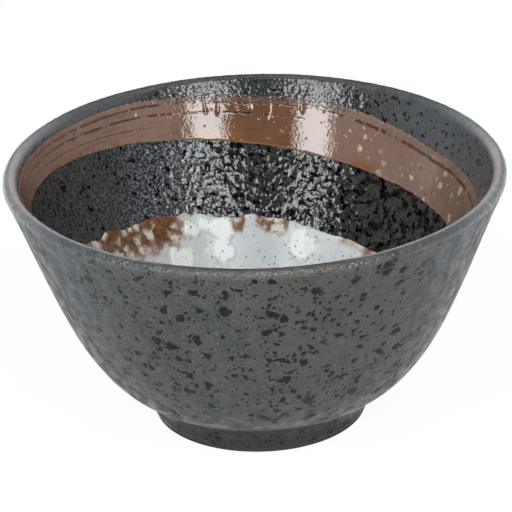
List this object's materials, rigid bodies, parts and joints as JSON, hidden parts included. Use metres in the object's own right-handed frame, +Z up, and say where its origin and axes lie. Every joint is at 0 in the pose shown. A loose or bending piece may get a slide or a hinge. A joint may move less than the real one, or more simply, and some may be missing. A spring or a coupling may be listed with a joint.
{
  "type": "donburi bowl",
  "caption": "Deep stoneware rice bowl on a turned foot ring, with a round lip, speckled grey glaze outside, and dark, brown-banded and white glazes inside.",
  "frame": {"origin": "centre of the standing ring, on the surface that the bowl stands on", "axes": "+Z up along the bowl's axis; -Y towards the viewer; the brown band and the white glaze sit highest at -X"},
  "size_m": [0.16, 0.16, 0.085],
  "materials": {
    "stoneware": "bare fired clay, matt and gritty",
    "grey_glaze": "satin grey glaze with black iron specks and a fine pebbled surface",
    "dark_glaze": "glossy black glaze, pebbled, turning grey under the lip",
    "brown_slip": "glossy iron brown with fine dark brush lines",
    "white_glaze": "glossy bluish white with dark pinholes and brown breaks at its edge",
    "foot_glaze": "thin satin grey glaze"
  },
  "bodies": {
    "root": {"stoneware_body": "stoneware", "outer_glaze": "grey_glaze", "inner_glaze": "dark_glaze", "brown_band": "brown_slip", "white_floor_glaze": "white_glaze", "foot_well_glaze": "foot_glaze"}
  },
  "joints": []
}
